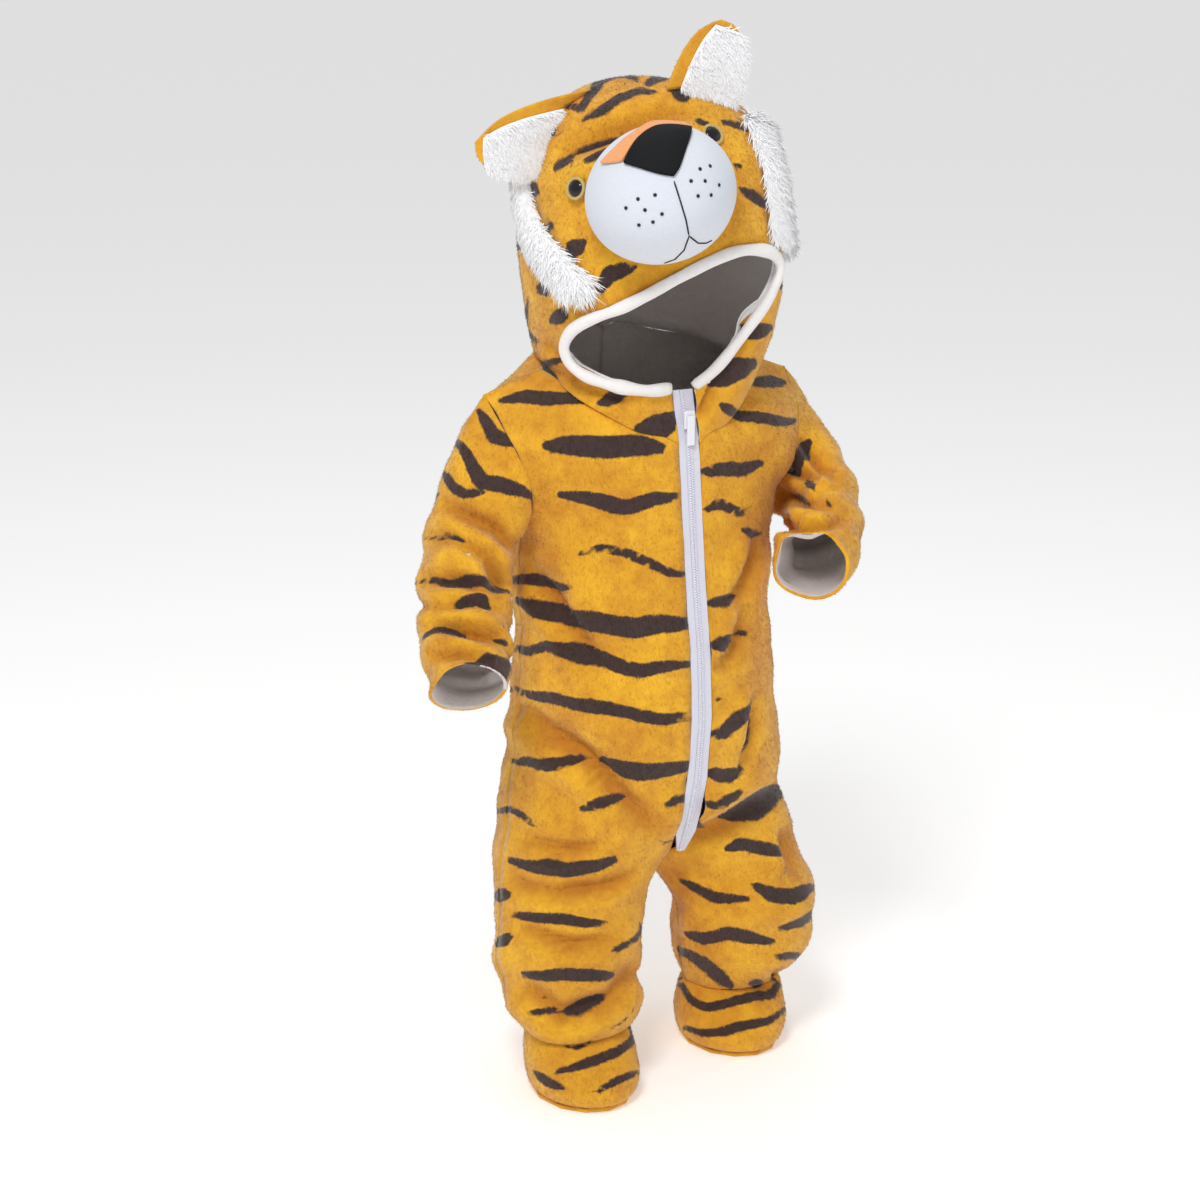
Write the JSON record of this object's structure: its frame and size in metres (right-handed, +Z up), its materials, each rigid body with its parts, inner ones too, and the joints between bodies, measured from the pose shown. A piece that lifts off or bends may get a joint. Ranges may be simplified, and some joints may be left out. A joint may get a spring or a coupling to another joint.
{
  "type": "hooded tiger costume romper",
  "caption": "Toddler's hooded plush romper made up as a tiger, with a padded muzzle on the hood, ears, fur bands and a front zip, holding a worn shape with no wearer.",
  "frame": {"origin": "inside the suit between the shoulders, level with the armholes, where the wearer holds it up", "axes": "-Y is the front with the zip, +X is the wearer's left, +Z up from the feet to the hood"},
  "size_m": [0.3813, 0.2525, 0.8154],
  "materials": {
    "plush": "short plush nap",
    "white_plush": "long plush fur",
    "lining": "smooth knit",
    "muzzle": "short plush nap",
    "black": "semi-gloss",
    "peach": "short plush nap",
    "ring": "satin stitch",
    "zip": "matt"
  },
  "bodies": {
    "garment": {"back_left": "plush", "back_right": "plush", "ear_back_left": "plush", "ear_back_right": "plush", "ear_inner_left": "white_plush", "ear_inner_right": "white_plush", "eye_pupil_left": "black", "eye_pupil_right": "black", "eye_ring_left": "ring", "eye_ring_right": "ring", "foot_upper_left": "plush", "foot_upper_right": "plush", "front_left": "plush", "front_right": "plush", "fur_band_left": "white_plush", "fur_band_right": "white_plush", "hood_face": "plush", "hood_side_left": "plush", "hood_side_right": "plush", "lining_face": "lining", "lining_left": "lining", "lining_right": "lining", "muzzle": "muzzle", "nose": "black", "nose_bridge": "peach", "opening_roll": "lining", "sleeve_left": "plush", "sleeve_right": "plush", "sole_left": "plush", "sole_right": "plush", "zip_chain": "zip", "zip_slider": "zip", "zip_tape_left": "zip", "zip_tape_right": "zip"},
    "pull_tab": {"zip_pull_tab": "zip"}
  },
  "joints": [
    {"name": "pull_tab_swing", "type": "hinge", "parent": "garment", "child": "pull_tab", "pos_m": [0, -0.07757, -0.019], "axis": [-1, 0, 0], "range_deg": [0, 140]}
  ]
}
